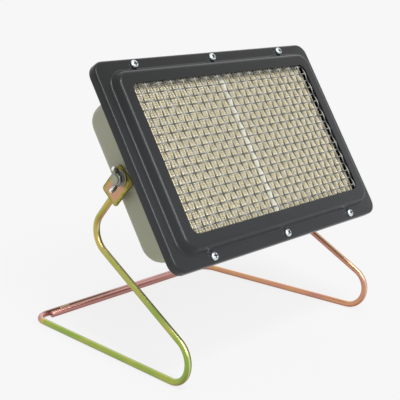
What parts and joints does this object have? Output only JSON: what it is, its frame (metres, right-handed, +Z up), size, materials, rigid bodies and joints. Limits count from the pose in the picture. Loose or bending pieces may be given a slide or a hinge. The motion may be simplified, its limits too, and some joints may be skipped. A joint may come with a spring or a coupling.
{
  "type": "portable infrared gas heater",
  "caption": "Flat ceramic radiant gas heater head in a pressed bezel with a wire screen, tilting between two bent wire legs and clamped by wing nuts.",
  "frame": {"origin": "on the floor under the middle of the whole heater's bounding box", "axes": "+X across the head, to the left wing nut at -X; the face looks towards -Y and up; +Z up"},
  "size_m": [0.29, 0.2219, 0.2622],
  "materials": {
    "bezel_paint": "semi-gloss anthracite with a fine grain",
    "housing_paint": "satin grey-green",
    "blue_zinc": "bright blue zinc plating",
    "yellow_chromate": "glossy yellow chromate with green and pink sheen",
    "plain_steel": "aluminised sheet",
    "brass": "turned brass",
    "screen_wire": "woven heat-resisting wire",
    "tile": "porous beige ceramic",
    "cement": "matt cream cement",
    "fibre": "white ceramic fibre",
    "bright_nickel": "bright nickel plating"
  },
  "bodies": {
    "stand": {"left_leg_wire": "yellow_chromate", "right_leg_wire": "yellow_chromate", "bracket_plates": "yellow_chromate", "bracket_welds": "yellow_chromate", "rear_bar_welds": "yellow_chromate"},
    "head": {"housing": "housing_paint", "bezel": "bezel_paint", "mesh_screen": "screen_wire", "left_plaque": "tile", "right_plaque": "tile", "plaque_seam": "cement", "plaque_gasket": "fibre", "plaque_tray": "plain_steel", "diffuser_plate": "plain_steel", "mixer_tube": "plain_steel", "injector_bracket": "plain_steel", "injector_bracket_screws": "blue_zinc", "injector_bracket_nuts": "blue_zinc", "injector_body": "brass", "injector_jet": "brass", "injector_locknut": "brass", "hose_nozzle": "brass", "bezel_screws": "blue_zinc", "bezel_nuts": "blue_zinc", "pivot_studs": "blue_zinc", "pivot_spacers": "blue_zinc", "pivot_washers": "blue_zinc"},
    "left_wing_nut": {"left_wing_nut": "bright_nickel"},
    "right_wing_nut": {"right_wing_nut": "bright_nickel"}
  },
  "joints": [
    {"name": "head_tilt", "type": "hinge", "parent": "stand", "child": "head", "pos_m": [0, -0.02764, 0.16688], "axis": [1, 0, 0], "range_deg": [-57.5, 30]},
    {"name": "left_wing_nut_turn", "type": "hinge", "parent": "head", "child": "left_wing_nut", "pos_m": [-0.13, -0.02764, 0.16688], "axis": [-1, 0, 0], "range_deg": [0, 360]},
    {"name": "right_wing_nut_turn", "type": "hinge", "parent": "head", "child": "right_wing_nut", "pos_m": [0.13, -0.02764, 0.16688], "axis": [1, 0, 0], "range_deg": [0, 360]}
  ]
}
